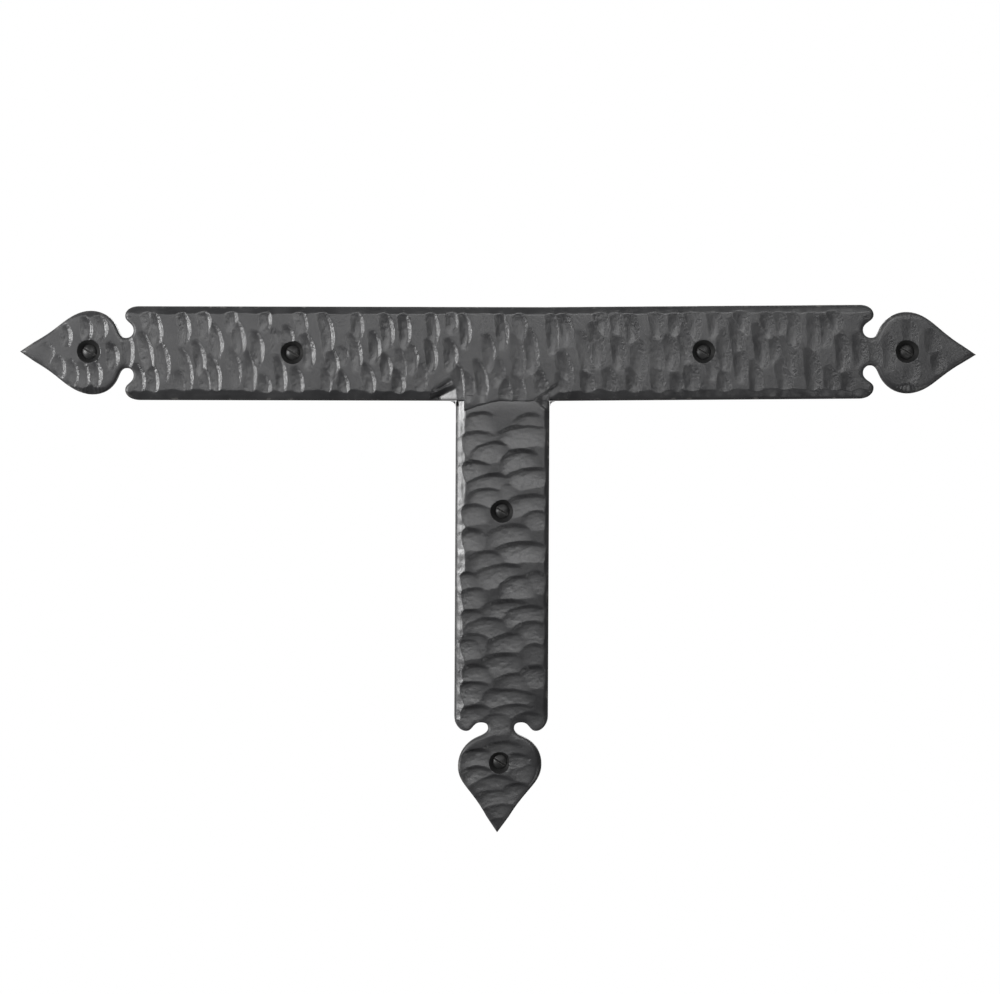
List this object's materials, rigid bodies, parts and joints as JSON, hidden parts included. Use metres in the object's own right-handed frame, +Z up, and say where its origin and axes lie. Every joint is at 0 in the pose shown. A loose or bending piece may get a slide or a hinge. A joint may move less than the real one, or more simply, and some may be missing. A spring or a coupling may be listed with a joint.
{
  "type": "T strap",
  "caption": "Hand-forged rigid T strap for a door, hammered flat bars welded into a T with spear finials and slotted countersunk wood screws.",
  "frame": {"origin": "middle of the crossbar's flat back face, where the crossbar's and the leg's centre lines meet", "axes": "+X to the right along the crossbar, +Z up with the leg hanging down, -Y out of the hammered front, +Y into the door"},
  "size_m": [0.508, 0.0342, 0.2804],
  "materials": {
    "forged_black": "satin",
    "screw_black": "satin"
  },
  "bodies": {
    "strap": {"crossbar": "forged_black", "leg": "forged_black", "front_weld": "forged_black", "back_weld": "forged_black", "left_corner_weld": "forged_black", "right_corner_weld": "forged_black"},
    "left_finial_screw": {"left_finial_screw": "screw_black"},
    "left_bar_screw": {"left_bar_screw": "screw_black"},
    "right_bar_screw": {"right_bar_screw": "screw_black"},
    "right_finial_screw": {"right_finial_screw": "screw_black"},
    "leg_screw": {"leg_screw": "screw_black"},
    "foot_finial_screw": {"foot_finial_screw": "screw_black"}
  },
  "joints": [
    {"name": "left_finial_screw_out", "type": "slide", "parent": "strap", "child": "left_finial_screw", "axis": [0, -1, 0], "range_m": [0, 0.035]},
    {"name": "left_bar_screw_out", "type": "slide", "parent": "strap", "child": "left_bar_screw", "axis": [0, -1, 0], "range_m": [0, 0.035]},
    {"name": "right_bar_screw_out", "type": "slide", "parent": "strap", "child": "right_bar_screw", "axis": [0, -1, 0], "range_m": [0, 0.035]},
    {"name": "right_finial_screw_out", "type": "slide", "parent": "strap", "child": "right_finial_screw", "axis": [0, -1, 0], "range_m": [0, 0.035]},
    {"name": "leg_screw_out", "type": "slide", "parent": "strap", "child": "leg_screw", "axis": [0, -1, 0], "range_m": [0, 0.035]},
    {"name": "foot_finial_screw_out", "type": "slide", "parent": "strap", "child": "foot_finial_screw", "axis": [0, -1, 0], "range_m": [0, 0.035]}
  ]
}
